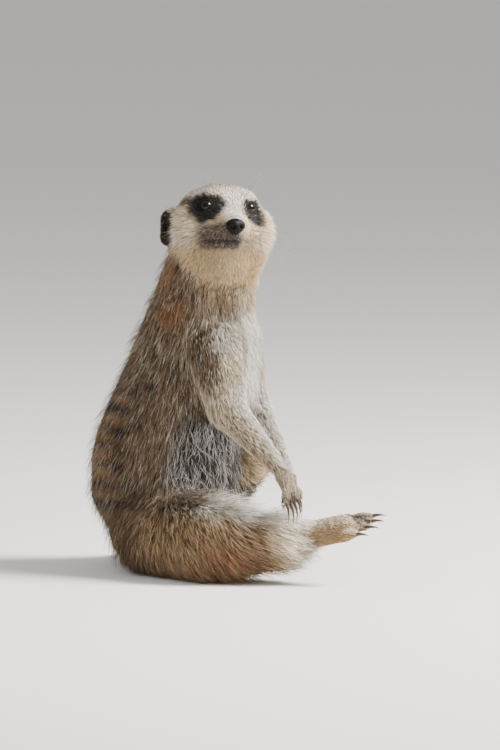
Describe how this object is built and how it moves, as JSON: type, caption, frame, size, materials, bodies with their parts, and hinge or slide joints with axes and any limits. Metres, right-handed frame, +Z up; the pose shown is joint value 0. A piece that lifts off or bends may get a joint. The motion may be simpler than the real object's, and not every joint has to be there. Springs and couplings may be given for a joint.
{
  "type": "sitting meerkat figure",
  "caption": "Life-size still meerkat, sitting upright on its rump with its head turned, hands on its knee and tail laid round its side.",
  "frame": {"origin": "on the floor at the centre of the flat under the rump", "axes": "+Z up along the sitting body, +X the way the body faces, +Y the animal's left"},
  "size_m": [0.2289, 0.2062, 0.25],
  "materials": {
    "back_coat": "coarse grizzled brown, silver and tan fur with dark bars on the lower back",
    "face": "short cream fur with black eye patches and a grey-brown muzzle",
    "pale_coat": "short cream and tan fur of the limbs",
    "ear": "short black fur",
    "tail_end": "short near-black fur",
    "eye": "wet, near-black brown",
    "nose": "moist black skin",
    "claw": "dark brown-black horn with a dull shine"
  },
  "bodies": {
    "root": {"eye_left": "eye", "eye_right": "eye", "nose": "nose", "head": "face", "ear_left": "ear", "ear_right": "ear", "neck": "back_coat", "trunk": "back_coat", "thigh_right": "back_coat", "shank_right": "pale_coat", "foot_right": "pale_coat", "claw_foot_right_1": "claw", "claw_foot_right_2": "claw", "claw_foot_right_3": "claw", "claw_foot_right_4": "claw", "upper_arm_right": "back_coat", "forearm_right": "pale_coat", "hand_right": "pale_coat", "claw_hand_right_1": "claw", "claw_hand_right_2": "claw", "claw_hand_right_3": "claw", "claw_hand_right_4": "claw", "thigh_left": "back_coat", "shank_left": "pale_coat", "foot_left": "pale_coat", "claw_foot_left_1": "claw", "claw_foot_left_2": "claw", "claw_foot_left_3": "claw", "claw_foot_left_4": "claw", "upper_arm_left": "back_coat", "forearm_left": "pale_coat", "hand_left": "pale_coat", "claw_hand_left_1": "claw", "claw_hand_left_2": "claw", "claw_hand_left_3": "claw", "claw_hand_left_4": "claw", "tail_base": "back_coat", "tail_mid": "back_coat", "tail_tip": "tail_end"}
  },
  "joints": []
}
